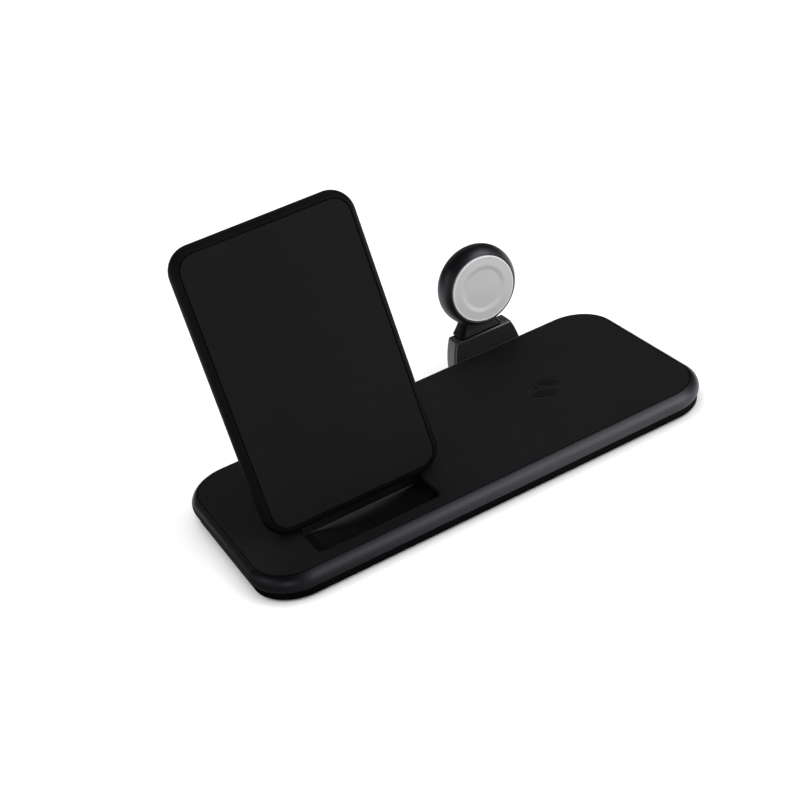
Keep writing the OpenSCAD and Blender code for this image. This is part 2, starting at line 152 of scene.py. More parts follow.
def inset_loop(outline, ins, ox=0.0, oy=0.0):
    return [(ox + x - ins * nx, oy + y - ins * ny) for x, y, nx, ny in outline]


def lathe(bm, profile, seg=128, closed=False, mat_of=None):
    """turns (r, z) points about Z; points on the axis become one vertex"""
    rows = []
    for r, z in profile:
        if r < 1e-6:
            rows.append([bm.verts.new((0, 0, z))])
        else:
            rows.append([bm.verts.new((r * math.cos(2 * pi * i / seg), r * math.sin(2 * pi * i / seg), z)) for i in range(seg)])
    m = len(rows)
    for k in range(m if closed else m - 1):
        a, b = rows[k], rows[(k + 1) % m]
        for i in range(seg):
            j = (i + 1) % seg
            if len(a) == 1 and len(b) == 1:
                continue
            if len(a) == 1:
                f = bm.faces.new((a[0], b[j], b[i]))
            elif len(b) == 1:
                f = bm.faces.new((a[i], a[j], b[0]))
            else:
                f = bm.faces.new((a[i], a[j], b[j], b[i]))
            if mat_of:
                f.material_index = mat_of[k]
    return rows


def arc(cx, cy, r, a0, a1, n):
    return [(cx + r * math.cos(math.radians(a0 + (a1 - a0) * i / n)), cy + r * math.sin(math.radians(a0 + (a1 - a0) * i / n))) for i in range(n + 1)]


def apply_mods(o):
    """applies the modifiers of o to its mesh"""
    bpy.context.view_layer.update()
    dg = bpy.context.evaluated_depsgraph_get()
    me = bpy.data.meshes.new_from_object(o.evaluated_get(dg), depsgraph=dg)
    old = o.data
    o.modifiers.clear()
    o.data = me
    bpy.data.meshes.remove(old)
    for f in o.data.polygons:
        f.use_smooth = True


def temp(bm):
    """a mesh object for boolean work, in mm"""
    bmesh.ops.remove_doubles(bm, verts=bm.verts, dist=0.001)
    bmesh.ops.recalc_face_normals(bm, faces=bm.faces)
    me = bpy.data.meshes.new("tmp")
    bm.to_mesh(me)
    bm.free()
    o = bpy.data.objects.new("tmp", me)
    bpy.context.scene.collection.objects.link(o)
    return o


def boolean(o, other, op):
    md = o.modifiers.new("b", "BOOLEAN")
    md.operation, md.object, md.solver = op, other, "EXACT"
    apply_mods(o)
    me = other.data
    bpy.data.objects.remove(other)
    bpy.data.meshes.remove(me)


def to_bm(o):
    """takes a temporary object back into a bmesh"""
    bm = bmesh.new()
    bm.from_mesh(o.data)
    me = o.data
    bpy.data.objects.remove(o)
    bpy.data.meshes.remove(me)
    return bm


def bevelled(o, width, seg=3, angle=30.0):
    md = o.modifiers.new("v", "BEVEL")
    md.width, md.segments, md.limit_method, md.angle_limit = width, seg, "ANGLE", math.radians(angle)
    md.use_clamp_overlap = True
    md.harden_normals = False
    apply_mods(o)


def prism(bm, pts, z0, z1, m=None, mi=0):
    """extrudes (x, y) points from z0 to z1"""
    a = [bm.verts.new((x, y, z0)) for x, y in pts]
    b = [bm.verts.new((x, y, z1)) for x, y in pts]
    n = len(pts)
    bm.faces.new(list(reversed(a)))
    bm.faces.new(b)
    for i in range(n):
        j = (i + 1) % n
        bm.faces.new((a[i], a[j], b[j], b[i]))
    if m is not None:
        bmesh.ops.transform(bm, matrix=m, verts=a + b)


def boxm(bm, lo, hi):
    prism(bm, [(lo[0], lo[1]), (hi[0], lo[1]), (hi[0], hi[1]), (lo[0], hi[1])], lo[2], hi[2])


# ------------------------------------------------------------------ materials
def shader(name):
    m = bpy.data.materials.new(name)
    m.use_nodes = True
    nt = m.node_tree
    nt.nodes.clear()
    out = nt.nodes.new("ShaderNodeOutputMaterial")
    b = nt.nodes.new("ShaderNodeBsdfPrincipled")
    nt.links.new(b.outputs[0], out.inputs[0])
    tc = nt.nodes.new("ShaderNodeTexCoord")
    return m, nt, b, tc.outputs["Object"]


def noise(nt, vec, scale, detail=3.0, rough=0.55, stretch=None):
    if stretch:
        mp = nt.nodes.new("ShaderNodeMapping")
        mp.inputs["Scale"].default_value = stretch
        nt.links.new(vec, mp.inputs["Vector"])
        vec = mp.outputs[0]
    n = nt.nodes.new("ShaderNodeTexNoise")
    n.inputs["Scale"].default_value = scale
    n.inputs["Detail"].default_value = detail
    n.inputs["Roughness"].default_value = rough
    nt.links.new(vec, n.inputs["Vector"])
    return n.outputs["Fac"]


def ramp(nt, fac, stops):
    r = nt.nodes.new("ShaderNodeValToRGB")
    e = r.color_ramp.elements
    while len(e) < len(stops):
        e.new(0.5)
    for k, (p, c) in enumerate(stops):
        e[k].position = p
        e[k].color = (*c, 1.0) if not isinstance(c, float) else (c, c, c, 1.0)
    nt.links.new(fac, r.inputs["Fac"])
    return r.outputs["Color"]


def remap(nt, fac, lo, hi, a=0.3, b=0.7):
    r = nt.nodes.new("ShaderNodeMapRange")
    r.inputs["From Min"].default_value, r.inputs["From Max"].default_value = a, b
    r.inputs["To Min"].default_value, r.inputs["To Max"].default_value = lo, hi
    nt.links.new(fac, r.inputs["Value"])
    return r.outputs["Result"]


def bump(nt, b, height, dist, strength=1.0):
    n = nt.nodes.new("ShaderNodeBump")
    n.inputs["Distance"].default_value = dist
    n.inputs["Strength"].default_value = strength
    nt.links.new(height, n.inputs["Height"])
    nt.links.new(n.outputs[0], b.inputs["Normal"])


def surface(name, c0, c1, r0, r1, metallic=0.0, spec=0.5, grain=6000.0, deep=0.000004, cloud=60.0, stretch=None, sheen=0.0, coat=0.0, coat_r=0.2):
    """a surface with cloudy colour variation, uneven roughness and a fine grain"""
    m, nt, b, vec = shader(name)
    big = noise(nt, vec, cloud, 4.0)
    fine = noise(nt, vec, grain, 2.0, 0.6, stretch)
    mix = nt.nodes.new("ShaderNodeMath")
    mix.operation = "MULTIPLY_ADD"
    mix.inputs[1].default_value = 0.25
    nt.links.new(fine, mix.inputs[0])
    sc = nt.nodes.new("ShaderNodeMath")
    sc.operation = "MULTIPLY"
    sc.inputs[1].default_value = 0.75
    nt.links.new(big, sc.inputs[0])
    nt.links.new(sc.outputs[0], mix.inputs[2])
    nt.links.new(ramp(nt, mix.outputs[0], [(0.35, c0), (0.65, c1)]), b.inputs["Base Color"])
    nt.links.new(remap(nt, mix.outputs[0], r0, r1), b.inputs["Roughness"])
    b.inputs["Metallic"].default_value = metallic
    b.inputs["Specular IOR Level"].default_value = spec
    if sheen:
        b.inputs["Sheen Weight"].default_value = sheen
        b.inputs["Sheen Roughness"].default_value = 0.5
    if coat:
        b.inputs["Coat Weight"].default_value = coat
        b.inputs["Coat Roughness"].default_value = coat_r
    bump(nt, b, fine, deep)
    return m


M = {}
M["anodised"] = surface("anodised_slate", (0.046, 0.046, 0.053), (0.054, 0.054, 0.062), 0.40, 0.47, metallic=1.0, grain=9000.0, deep=0.0000025)
M["dark_metal"] = surface("anodised_grey", (0.060, 0.060, 0.066), (0.070, 0.070, 0.077), 0.34, 0.42, metallic=1.0, grain=9000.0, deep=0.0000025)
M["rim_black"] = surface("rim_black", (0.0024, 0.0024, 0.0026), (0.0034, 0.0034, 0.0036), 0.46, 0.56, spec=0.05, grain=7000.0, deep=0.000003)
M["fascia_black"] = surface("fascia_black", (0.011, 0.011, 0.0113), (0.0135, 0.0135, 0.0138), 0.42, 0.52, spec=0.2, grain=5200.0, deep=0.000004)
M["foot_black"] = surface("foot_black", (0.0026, 0.0026, 0.0028), (0.0036, 0.0036, 0.0039), 0.32, 0.42, spec=0.1, grain=6000.0, deep=0.000003)
M["puck_metal"] = surface("puck_anodised", (0.062, 0.060, 0.070), (0.074, 0.072, 0.083), 0.38, 0.46, metallic=1.0, grain=9000.0, deep=0.000002)
M["cut_edge"] = surface("cut_edge", (0.085, 0.085, 0.09), (0.105, 0.105, 0.11), 0.3, 0.38, metallic=1.0, grain=4000.0, deep=0.0000008, stretch=(1, 1, 6))
M["satin_metal"] = surface("satin_alloy", (0.088, 0.088, 0.094), (0.102, 0.102, 0.108), 0.36, 0.44, metallic=1.0, grain=8000.0, deep=0.000003)
M["soft_black"] = surface("soft_touch", (0.0042, 0.0042, 0.0044), (0.0052, 0.0052, 0.0054), 0.52, 0.62, spec=0.05, grain=5200.0, deep=0.000006, sheen=0.02)
M["tray_black"] = surface("tray_gloss", (0.0026, 0.0026, 0.0028), (0.0034, 0.0034, 0.0036), 0.34, 0.42, spec=0.32, grain=5000.0, deep=0.0000015)
M["cover_black"] = surface("cover_plastic", (0.0014, 0.0014, 0.0015), (0.0022, 0.0022, 0.0023), 0.55, 0.66, spec=0.02, grain=2600.0, deep=0.00001)
M["shell_black"] = surface("shell_plastic", (0.0060, 0.0060, 0.0062), (0.0085, 0.0085, 0.0088), 0.44, 0.56, spec=0.25, grain=2600.0, deep=0.000010)
M["inner_plastic"] = surface("inner_plastic", (0.012, 0.012, 0.012), (0.02, 0.02, 0.02), 0.4, 0.5, spec=0.4, grain=3000.0, deep=0.000005)
M["rubber_black"] = surface("mat_rubber", (0.02, 0.02, 0.02), (0.032, 0.032, 0.031), 0.75, 0.9, spec=0.2, grain=2200.0, deep=0.00002)
M["pale_disc"] = surface("pale_disc", (0.39, 0.39, 0.393), (0.43, 0.43, 0.433), 0.34, 0.42, spec=0.5, grain=4000.0, deep=0.0000015, coat=0.3, coat_r=0.25)
# the disc's rim: a glossier, lighter copy of the pale disc; the lighter colour is a painted highlight on the rounded
# rim
M["disc_rim"] = surface("disc_rim", (0.50, 0.50, 0.505), (0.55, 0.55, 0.555), 0.26, 0.34, spec=0.5, grain=4000.0, deep=0.000001)
M["plain_steel"] = surface("plain_steel", (0.42, 0.42, 0.42), (0.55, 0.55, 0.55), 0.25, 0.38, metallic=1.0, grain=3000.0, deep=0.000002, stretch=(1, 10, 1))
M["screw_steel"] = surface("screw_steel", (0.10, 0.10, 0.105), (0.16, 0.16, 0.165), 0.28, 0.42, metallic=1.0, grain=5000.0, deep=0.000003)
M["copper"] = surface("copper_winding", (0.45, 0.17, 0.07), (0.6, 0.26, 0.11), 0.28, 0.4, metallic=1.0, grain=2500.0, deep=0.00001)
M["contact_gold"] = surface("contact_gold", (0.72, 0.48, 0.16), (0.82, 0.6, 0.26), 0.2, 0.3, metallic=1.0, grain=3500.0, deep=0.000002)
M["ferrite"] = surface("ferrite", (0.03, 0.03, 0.033), (0.06, 0.06, 0.062), 0.6, 0.8, spec=0.3, grain=3500.0, deep=0.00001)
M["board_green"] = surface("board_green", (0.008, 0.055, 0.025), (0.014, 0.085, 0.04), 0.3, 0.45, spec=0.5, grain=900.0, deep=0.000008)

rec = frame["record"]
slot_of = {s["node"]: s["material_slot"] for s in rec["subparts"]}
for n, o in frame["nodes"].items():
    o.data.materials.clear()
    o.data.materials.append(M[slot_of[n]])


# ------------------------------------------------------------------ base
def bullnose(zlow, zeq, ztop, ledge):
    """closed section of the metal rim, (distance in from the outline, height), with a small cut along its top edge"""
    a_low = 180 + math.degrees(math.asin((zeq - zlow) / EDGE_R))
    cut = EDGE_W - 0.36
    a_top = 180 - math.degrees(math.acos((EDGE_R - cut) / EDGE_R))
    pts = arc(EDGE_R, zeq, EDGE_R, a_low, a_top, 26)
    zc = pts[-1][1]
    pts += [(EDGE_W - 0.30, zc + 0.01), (EDGE_W - 0.23, zc - 0.03), (EDGE_W - 0.18, zc - 0.10), (EDGE_W - 0.15, zc - 0.22), (EDGE_W - 0.15, ledge), (RIM_W, ledge), (RIM_W, zlow)]
    first = pts[0]
    pts = [(first[0] + 0.16, zlow), (first[0] + 0.04, zlow + 0.04), (first[0] - 0.01, zlow + 0.14)] + pts[2:]
    return pts


base_outline = rr(BASE_L, BASE_D, BASE_R, 28)
bm = bmesh.new()
prof = bullnose(SEAM, EQ, TOP, LEDGE)
sweep(bm, base_outline, prof, True)
o = temp(bm)
# notch of the socket block and opening of the power inlet
bm = bmesh.new()
boxm(bm, (BL_X - BL_W / 2 - 0.12, BL_Y - 0.06, 0), (BL_X + BL_W / 2 + 0.12, 60, 20))
boolean(o, temp(bm), "DIFFERENCE")
bm = bmesh.new()
inlet_pts = arc(2.95, 5.6, 1.85, -90, 90, 16) + arc(-2.95, 5.6, 1.85, 90, 270, 16)
prism(bm, inlet_pts, -60, -36, Matrix.Rotation(pi / 2, 4, "X"))
boolean(o, temp(bm), "DIFFERENCE")
base_rim = make("base_rim", to_bm(o), "station", mats=[M["anodised"]], replaces=["base_frame"])

# top pad: a plate with a fine radius round its edge and openings, and three debossed rings
pad_outline = rr(BASE_L - 2 * EDGE_W, BASE_D - 2 * EDGE_W, BASE_R - EDGE_W, 28)
tray_outline = rr(TRAY_L, TRAY_Y1 - TRAY_Y0, 2.6, 12)
tx, ty = TRAY_X, (TRAY_Y0 + TRAY_Y1) / 2
slot_outline = rr(40.6, 5.6, 0.4, 3)
sx_, sy_ = ST_X, -11.1


def plate_edge(z0, z1, r, grow=1):
    """side of a plate with a quarter-round top; grow -1 for the edge of an opening"""
    return [(0.0, z0)] + [(grow * (r - r * math.cos(math.radians(t))), z1 - r + r * math.sin(math.radians(t))) for t in (0, 22.5, 45, 67.5, 90)]


bm = bmesh.new()
R_OUT, R_IN = 0.26, 0.18
GAP = 0.17
sweep(bm, pad_outline, [(GAP + a, b) for a, b in plate_edge(LEDGE, TOP, R_OUT)], False)
sweep(bm, tray_outline, plate_edge(LEDGE, TOP, R_IN, -1), False, ox=tx, oy=ty)
sweep(bm, slot_outline, plate_edge(LEDGE, TOP, R_IN, -1), False, ox=sx_, oy=sy_)
rings = [5.85, 4.2, 2.87]
ring_prof = []
for r in rings:
    ring_prof += [(r + 0.36, TOP), (r + 0.30, TOP - 0.02), (r + 0.26, TOP - 0.07), (r + 0.24, TOP - 0.28), (r + 0.16, TOP - 0.30),
                  (r - 0.16, TOP - 0.30), (r - 0.24, TOP - 0.28), (r - 0.26, TOP - 0.07), (r - 0.30, TOP - 0.02), (r - 0.36, TOP)]
SEG = 96
# the rings' groove walls and floors take the darker, glossier tray material: its darker colour is painted shade down in
# the grooves
rows = lathe(bm, [(8.0, TOP)] + ring_prof + [(0.0, TOP)], SEG, mat_of=[0] + [0, 0, 1, 1, 1, 1, 1, 0, 0, 0] * 3 + [0])
vs = [v for row in rows for v in row]
bmesh.ops.translate(bm, verts=vs, vec=(RING[0], RING[1], 0))
circle = [(RING[0] + 8.0 * math.cos(2 * pi * i / SEG), RING[1] + 8.0 * math.sin(2 * pi * i / SEG)) for i in range(SEG)]
fill(bm, [inset_loop(pad_outline, GAP + R_OUT), inset_loop(tray_outline, -R_IN, tx, ty), inset_loop(slot_outline, -R_IN, sx_, sy_), circle], TOP)
fill(bm, [inset_loop(pad_outline, GAP), inset_loop(tray_outline, 0, tx, ty), inset_loop(slot_outline, 0, sx_, sy_)], LEDGE)
pad = make("pad_plate", bm, "station", mats=[M["soft_black"], M["tray_black"]], replaces=["top_pad"])


# hollow in front of the stand: scooped floor that meets the walls with soft corners
def tray_floor(x, y):
    """a trough that is deepest in the middle; it sweeps up to the foot of the rear wall"""
    u = (x - (TRAY_X + 1.2)) / 21.6
    g = max(0.0, 1 - u * u)
    if g <= 0:
        return TOP - TRAY_STEP
    low = TOP - TRAY_STEP - (TRAY_DEEP - TRAY_STEP) * g
    h = (TRAY_DEEP - TRAY_STEP) * g
    w = g * (4.5 + 1.6 * (u + 1))
    r = (w * w + h * h) / (2 * h)
    d = TRAY_Y1 - 0.6 - y
    if d >= w:
        return low
    return low + r - math.sqrt(max(0.0, r * r - (w - max(d, 0.0)) ** 2))


bm = bmesh.new()
W = 0.6
tray_prof = [(0.0, LEDGE - 0.0), (0.0, TOP - 0.42), (0.02, TOP - 0.36), (0.06, TOP - 0.34), (W - 0.08, TOP - 0.34), (W - 0.02, TOP - 0.37), (W, TOP - 0.44)]
steps = [(W + 0.01, 0.80), (W + 0.03, 0.55), (W + 0.06, 0.32), (W + 0.11, 0.15), (W + 0.17, 0.05), (W + 0.25, 0.0)]
steps += [(W + 0.25 + 0.25 * k, 0.0) for k in range(1, 36)]
# each step's height is the floor's, plus a share of the fillet's height
FIL = 0.22
base_n = len(tray_prof)
prof = tray_prof + [(a, 0.0) for a, _ in steps]


def tray_z(x, y, k, z):
    if k < base_n:
        return z
    f = tray_floor(x, y)
    room = max(0.0, (TOP - 0.44) - f)
    return f + min(FIL, room) * steps[k - base_n][1]


# denser outline so that the scoop's curve is smooth along the end walls
def densify(outline, step=0.8):
    out = []
    n = len(outline)
    for i in range(n):
        a, b = outline[i], outline[(i + 1) % n]
        out.append(a)
        L = math.hypot(b[0] - a[0], b[1] - a[1])
        k = int(L / step)
        for j in range(1, k):
            t = j / k
            out.append(tuple(a[q] + (b[q] - a[q]) * t for q in range(2)) + (a[2], a[3]))
    return out


tray_o = []
for x, y, nx, ny in densify(tray_outline):
    tray_o.append((x, y, nx, ny))
loops = []
hx, hy = TRAY_L / 2, (TRAY_Y1 - TRAY_Y0) / 2


def tray_point(x, y, nx, ny, ins):
    """insets a point of the outline; beyond the corner radius the corner closes to a point that keeps moving in"""
    r = 2.6
    if ins <= r - 0.2:
        return x - ins * nx, y - ins * ny
    # on the inset rectangle
    px, py = x - (r - 0.2) * nx, y - (r - 0.2) * ny
    lim_x, lim_y = hx - ins, hy - ins
    return max(-lim_x, min(lim_x, px)), max(-lim_y, min(lim_y, py))


for k, (ins, z) in enumerate(prof):
    row = []
    for x, y, nx, ny in tray_o:
        px, py = tray_point(x, y, nx, ny, ins)
        px, py = px + tx, py + ty
        row.append(bm.verts.new((px, py, tray_z(px, py, k, z))))
    loops.append(row)
n = len(tray_o)
for k in range(len(loops) - 1):
    for i in range(n):
        j = (i + 1) % n
        try:
            bm.faces.new((loops[k][i], loops[k][j], loops[k + 1][j], loops[k + 1][i]))
        except ValueError:
            pass
# the last loop has closed to a line along the middle
bmesh.ops.remove_doubles(bm, verts=bm.verts, dist=0.004)
# outside of the tub, below the plate
out_rows = []
for ins, z in ((0.0, LEDGE), (-0.3, LEDGE), (-0.3, TOP - TRAY_DEEP - 0.8)):
    out_rows.append([bm.verts.new((tx + x - ins * nx, ty + y - ins * ny, z)) for x, y, nx, ny in tray_o])
for k in range(2):
    for i in range(n):
        j = (i + 1) % n
        bm.faces.new((out_rows[k][i], out_rows[k][j], out_rows[k + 1][j], out_rows[k + 1][i]))
cap(bm, out_rows[2])
tray = make("hollow_tub", bm, "station", mats=[M["tray_black"]], replaces=["recess_tray"], sharp=50)

# ------------------------------------------------------------------ phone stand
stand_outline = rr(ST_W, ST_H, ST_R, 24)
bm = bmesh.new()
prof = bullnose(ST_T - 6.2, ST_T - 4.1, ST_T, ST_T - PAD_T)
sweep(bm, stand_outline, prof, True)
make("stand_rim", bm, "station", at=STAND_PLAN, mats=[M["rim_black"]], replaces=["stand_frame"])

bm = bmesh.new()
face_outline = rr(ST_W - 2 * EDGE_W, ST_H - 2 * EDGE_W, ST_R - EDGE_W, 24)
ls = sweep(bm, face_outline, [(GAP + a, b) for a, b in plate_edge(ST_T - PAD_T, ST_T, R_OUT)], False)
cap(bm, ls[-1])
cap(bm, list(reversed(ls[0])))
make("stand_plate", bm, "station", at=STAND_PLAN, mats=[M["soft_black"]], replaces=["stand_pad"])

# rear cover with a rounded edge; the four screw posts stay hidden inside the strut's footprint
bm = bmesh.new()
back = [(RIM_W, ST_T - 6.2), (0.85, ST_T - 6.2), (0.75, ST_T - 6.3)] + [(0.75 + 0.02 * 0, 2.6)] + \
       [(3.2 - 2.45 * math.cos(math.radians(t)), 2.5 - 2.5 * math.sin(math.radians(t))) for t in (10, 22, 34, 46, 58, 70, 80, 90)]
ls = sweep(bm, stand_outline, back, False)
cap(bm, ls[-1])
inner = sweep(bm, stand_outline, [(RIM_W, ST_T - 6.2), (RIM_W, 2.0)], False)
cap(bm, inner[-1])
make("stand_shell", bm, "station", at=STAND_PLAN, mats=[M["shell_black"]], replaces=["stand_back"])

# ------------------------------------------------------------------ socket
def block_half(z, w=BL_W, grow=0.0):
    return w / 2 - 38.0 + math.sqrt((38.0 + grow) ** 2 - (z - 3.0) ** 2)


zs = [1.8 + (BL_TOP - 1.8) * i / 24 for i in range(25)]
block_pts = [(block_half(z), z) for z in zs] + [(-block_half(z), z) for z in reversed(zs)]
bm = bmesh.new()
# profile in X, Z pushed back along Y
prism(bm, block_pts, -(BL_Y + BL_D), -(BL_Y + 1.32), Matrix.Translation((BL_X, 0, 0)) @ Matrix.Rotation(pi / 2, 4, "X"))
o = temp(bm)
bevelled(o, 0.55, 4, 40)
bm = bmesh.new()
slot_pts = rr(SL_L, SL_W, 0.25, 4)
prism(bm, [(SL_X + p[0], SL_Y + p[1]) for p in slot_pts], BL_TOP - 11.4, BL_TOP + 2)
boolean(o, temp(bm), "DIFFERENCE")
bm = bmesh.new()
boxm(bm, (BL_X - 12, 31, 3.62), (BL_X + 12, BL_Y + 1.9, 7.28))
boolean(o, temp(bm), "UNION")
bm = to_bm(o)
make("socket_body", bm, "station", mats=[M["satin_metal"]], replaces=["socket_block"])

# dark front plate, bright cut edge along its top
bm = bmesh.new()
z_lo = SEAM + 3.2
zs = [z_lo + (BL_TOP - 0.15 - z_lo) * i / 20 for i in range(21)]
front_pts = [(block_half(z, BL_W - 0.3), z) for z in zs] + [(-block_half(z, BL_W - 0.3), z) for z in reversed(zs)]
nf = len(front_pts)
a = [bm.verts.new((BL_X + x, BL_Y + 1.3, z)) for x, z in front_pts]
CH = 0.42


def shrink(x, z, c):
    hi = BL_TOP - 0.15
    return x * (1 - c * 0.6 / 15.0), min(z, hi - c)


b = [bm.verts.new((BL_X + shrink(x, z, 0.0)[0], BL_Y + CH, z)) for x, z in front_pts]
c = [bm.verts.new((BL_X + shrink(x, z, CH)[0], BL_Y, shrink(x, z, CH)[1])) for x, z in front_pts]
bm.faces.new(a)
bm.faces.new(list(reversed(c)))
for i in range(nf):
    j = (i + 1) % nf
    bm.faces.new((a[i], a[j], b[j], b[i]))
    f = bm.faces.new((b[i], b[j], c[j], c[i]))
    f.material_index = 1
make("socket_fascia", bm, "station", mats=[M["fascia_black"], M["cut_edge"]], replaces=["socket_front"])

# ------------------------------------------------------------------ plug-in watch charger
# foot: a flared body that narrows to the knuckle, lofted from rounded sections and melted into it
bm = bmesh.new()
B0 = BL_TOP
sections = [  # height above the block, half width, front y, rear y, corner radius
    (0.0, 9.35, 43.0, 50.95, 1.6), (0.35, 9.62, 42.75, 51.2, 1.7), (0.8, 9.7, 42.7, 51.3, 1.8), (1.1, 9.45, 42.95, 51.15, 1.8),
    (2.6, 8.5, 43.6, 50.8, 1.8), (4.6, 7.35, 44.2, 50.35, 1.8), (6.6, 6.3, 44.6, 50.1, 1.8), (8.6, 5.35, 44.85, 50.2, 1.7),
    (10.4, 4.6, 44.75, 50.75, 1.6), (12.2, 4.42, 44.55, 51.1, 1.5), (14.0, 4.42, 44.5, 51.1, 1.4), (15.2, 4.3, 45.6, 50.0, 1.3)]
rows = []
for h, hw, y0, y1, r in sections:
    rows.append([bm.verts.new((SL_X + x, (y0 + y1) / 2 + y, B0 + h)) for x, y, _, _ in rr(2 * hw, y1 - y0, r, 6)])
for k in range(len(rows) - 1):
    n = len(rows[k])
    for i in range(n):
        j = (i + 1) % n
        bm.faces.new((rows[k][i], rows[k][j], rows[k + 1][j], rows[k + 1][i]))
bm.faces.new(list(reversed(rows[0])))
bm.faces.new(rows[-1])
o = temp(bm)
bm = bmesh.new()
lathe(bm, [(0, -4.45), (3.15, -4.45), (3.4, -4.3), (3.48, -4.1), (3.48, 4.1), (3.4, 4.3), (3.15, 4.45), (0, 4.45)], 64)
bmesh.ops.transform(bm, matrix=Matrix.Translation((SL_X, HG_Y, HG_Z)) @ Matrix.Rotation(pi / 2, 4, "Y"), verts=bm.verts)
boolean(o, temp(bm), "UNION")
md = o.modifiers.new("r", "REMESH")
md.mode, md.voxel_size = "VOXEL", 0.22
md = o.modifiers.new("s", "SMOOTH")
md.factor, md.iterations = 0.5, 6
apply_mods(o)
foot = make("watch_foot_body", to_bm(o), "watch_module", mats=[M["foot_black"]], replaces=["watch_foot"], sharp=60)

# pin with domed ends
bm = bmesh.new()
lathe(bm, [(0, -7.55), (0.7, -7.5), (1.05, -7.38), (1.22, -7.15), (1.22, 7.15), (1.05, 7.38), (0.7, 7.5), (0, 7.55)], 32)
make("pin_domed", bm, "watch_module", at=Matrix.Translation((SL_X, HG_Y, HG_Z)) @ Matrix.Rotation(pi / 2, 4, "Y"), mats=[M["plain_steel"]], replaces=["hinge_pin"])

# housing of the disc
zc = 4.2 - PK_T
front = arc(PK_R - 7.33, zc, 7.33, 0, 50.0, 22)
rear = arc(PK_R - 4.2, zc, 4.2, -90, 0, 16)
lip_z = front[-1][1]
prof = [(0, -PK_T)] + rear[:-1] + front
prof += [(DISC_R + 0.06, front[-1][1] - 0.05), (DISC_R + 0.02, -0.75), (DISC_R + 0.02, -1.8), (13.0, -1.8), (13.0, -PK_T + 1.6), (0, -PK_T + 1.6)]
bm = bmesh.new()
lathe(bm, prof, 144)
o = temp(bm)
for s in (-1, 1):
    bm = bmesh.new()
    x0 = 4.8 if s > 0 else -7.8
    # lug: rounded ear with a foot on the housing's back; in the disc's frame x across, y up, z forward
    yh, zh = -PK_UP, -PK_FWD
    ear = [(zh + 3.5 * math.cos(math.radians(t)), yh + 3.5 * math.sin(math.radians(t))) for t in range(90, 271, 10)]
    ear += [(-PK_T + 1.0, yh - 3.5), (-PK_T + 1.0, yh + 3.5)]
    lo = [bm.verts.new((x0, y, z)) for z, y in ear]
    hi = [bm.verts.new((x0 + 3.0, y, z)) for z, y in ear]
    n = len(ear)
    bm.faces.new(lo)
    bm.faces.new(list(reversed(hi)))
    for i in range(n):
        j = (i + 1) % n
        bm.faces.new((lo[i], hi[i], hi[j], lo[j]))
    e = temp(bm)
    bevelled(e, 0.4, 3, 40)
    bm = bmesh.new()
    lathe(bm, [(0, -6), (1.3, -6), (1.3, 6), (0, 6)], 40)
    bmesh.ops.transform(bm, matrix=Matrix.Translation((x0 + 1.5, yh, zh)) @ Matrix.Rotation(pi / 2, 4, "Y"), verts=bm.verts)
    boolean(e, temp(bm), "DIFFERENCE")
    boolean(o, e, "UNION")
puck = make("puck_housing", to_bm(o), "watch_puck", at=PUCK, mats=[M["puck_metal"]], replaces=["puck_shell"], sharp=35)

# pale disc: a flat ring, a soft shallow dish inside it, and a narrow rim in a glossier, lighter copy of the disc's
# material; the gloss is real, the lighter colour is a painted highlight on the rounded edge
bm = bmesh.new()


def dish(r):
    t = max(0.0, min(1.0, (r - 7.6) / 2.4))
    return -0.12 - 0.42 * (1 - t * t * (3 - 2 * t))


prof = [(0, -1.8), (13.55, -1.8), (13.62, -1.7), (13.62, -0.55), (13.6, -0.34), (13.52, -0.18), (13.40, -0.08), (13.24, -0.05)]
k_rim = len(prof)
prof += [(13.05, -0.07), (12.9, -0.11)] + [(r, dish(r)) for r in (12.4, 11.8, 11.0, 10.4, 10.0, 9.8, 9.6, 9.4, 9.2, 9.0, 8.8, 8.6, 8.4, 8.2, 8.0, 7.8, 7.6, 7.3, 6.8, 6.0, 5.0, 4.0, 3.0, 2.0, 1.0)]
prof.append((0, dish(0)))
lathe(bm, prof, 144, mat_of=[1 if 1 <= k <= k_rim else 0 for k in range(len(prof))])
make("disc_face", bm, "watch_puck", at=PUCK, mats=[M["pale_disc"], M["disc_rim"]], replaces=["puck_face"], sharp=40)

# ------------------------------------------------------------------ floor, light, camera
bm = bmesh.new()
boxm(bm, (-4000, -4000, -6), (4000, 6000, -0.02))
me = bpy.data.meshes.new("floor")
bm.transform(Matrix.Scale(MM, 4))
bm.to_mesh(me)
bm.free()
floor = bpy.data.objects.new("floor", me)
bpy.context.scene.collection.objects.link(floor)
m, nt, b, vec = shader("studio_floor")
nt.links.new(ramp(nt, noise(nt, vec, 3.0, 2.0), [(0.3, (0.86, 0.86, 0.86)), (0.7, (0.88, 0.88, 0.88))]), b.inputs["Base Color"])
b.inputs["Roughness"].default_value = 0.9
b.inputs["Specular IOR Level"].default_value = 0.1
me.materials.append(m)
floor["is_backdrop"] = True

# grey studio card on the floor in front, which only reflections see: it calms the lower half of the metal rim
bm = bmesh.new()
prism(bm, [(-260, -320), (-70, -320), (-20, -110), (40, -80), (40, 60), (-260, 60)], -0.016, -0.008)
me = bpy.data.meshes.new("grey_card")
bm.transform(Matrix.Scale(MM, 4))
bm.to_mesh(me)
bm.free()
card = bpy.data.objects.new("grey_card", me)
bpy.context.scene.collection.objects.link(card)
m, nt, b, vec = shader("grey_card")
sep = nt.nodes.new("ShaderNodeSeparateXYZ")
nt.links.new(vec, sep.inputs[0])
span = nt.nodes.new("ShaderNodeMapRange")
span.inputs["From Min"].default_value, span.inputs["From Max"].default_value = -0.12, 0.04
nt.links.new(sep.outputs[0], span.inputs["Value"])
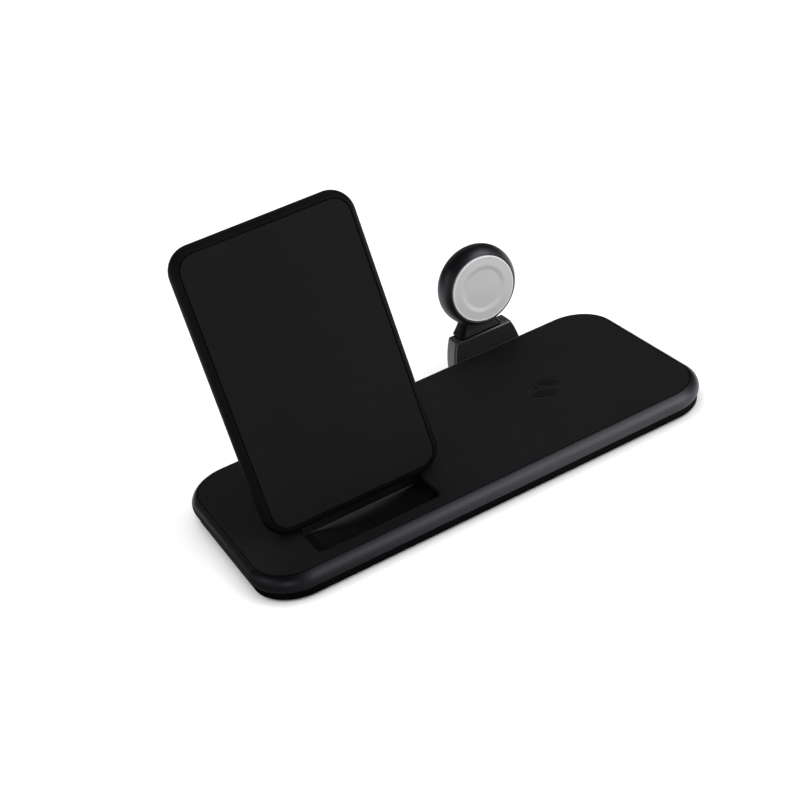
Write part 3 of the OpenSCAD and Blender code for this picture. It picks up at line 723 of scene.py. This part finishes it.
nt.links.new(ramp(nt, span.outputs[0], [(0.0, (0.03, 0.03, 0.03)), (0.2, (0.13, 0.13, 0.13)), (0.55, (0.46, 0.46, 0.46)), (1.0, (0.87, 0.87, 0.87))]), b.inputs["Base Color"])
b.inputs["Roughness"].default_value = 0.9
b.inputs["Specular IOR Level"].default_value = 0.1
me.materials.append(m)
card.visible_camera = card.visible_diffuse = card.visible_shadow = False
card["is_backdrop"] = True


def softbox(name, at, to, sx, sy, watts, col=(1, 1, 1)):
    d = bpy.data.lights.new(name, "AREA")
    d.shape, d.size, d.size_y, d.energy, d.color = "RECTANGLE", sx, sy, watts, col
    o = bpy.data.objects.new(name, d)
    o.location = at
    o.rotation_euler = (Vector(to) - Vector(at)).to_track_quat("-Z", "Y").to_euler()
    bpy.context.scene.collection.objects.link(o)
    return o


key = softbox("overhead", (-0.2, 0.3, 1.6), (0, 0, 0), 2.6, 2.6, 27)
key.visible_glossy = False
softbox("front", (0.9, -1.2, 0.62), (0, 0, 0.02), 1.2, 0.9, 12)
softbox("above_front", (0.8, -0.5, 1.15), (0, 0, 0.02), 1.0, 0.7, 5.5)
softbox("rear", (0.2, 1.6, 0.9), (0, 0, 0.02), 2.2, 0.8, 2.5)
softbox("left", (-1.3, 0.1, 0.6), (0, 0, 0.03), 0.8, 0.6, 1.5)
softbox("low_front", (1.0, -1.1, 0.17), (0.02, -0.04, 0.008), 0.7, 0.22, 2.2)
softbox("corner", (-0.86, -0.9, 0.34), (-0.09, -0.04, 0.01), 0.5, 0.35, 1.2)

w = bpy.data.worlds.new("studio")
bpy.context.scene.world = w
w.use_nodes = True
w.node_tree.nodes["Background"].inputs["Color"].default_value = (1, 1, 1, 1)
w.node_tree.nodes["Background"].inputs["Strength"].default_value = 0.6
w.cycles_visibility.glossy = False

cd = bpy.data.cameras.new("camera")
cd.sensor_width = 36.0
cd.lens = 1570.94 / 800.0 * 36.0
cd.clip_start, cd.clip_end = 0.01, 50.0
cam = bpy.data.objects.new("camera", cd)
bpy.context.scene.collection.objects.link(cam)
# rows of the fitted camera: right, down, forward
right = (0.86768462, -0.45659779, -0.19657531)
down = (-0.38902402, -0.37749027, -0.84033411)
fwd = (0.30948943, 0.8056175, -0.50517001)
loc = (-0.19289194, -0.46493640, 0.32312542)
cam.matrix_world = Matrix(((right[0], -down[0], -fwd[0], loc[0]), (right[1], -down[1], -fwd[1], loc[1]), (right[2], -down[2], -fwd[2], loc[2]), (0, 0, 0, 1)))
bpy.context.scene.camera = cam

sc = bpy.context.scene
sc.view_settings.view_transform = "Standard"
sc.view_settings.look = "None"
sc.view_settings.exposure = 0.0

({"cad": [list(map(float, x)) if hasattr(x, "__len__") else x for x in cad_box],
           "visual": [list(map(float, x)) if hasattr(x, "__len__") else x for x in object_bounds()]})
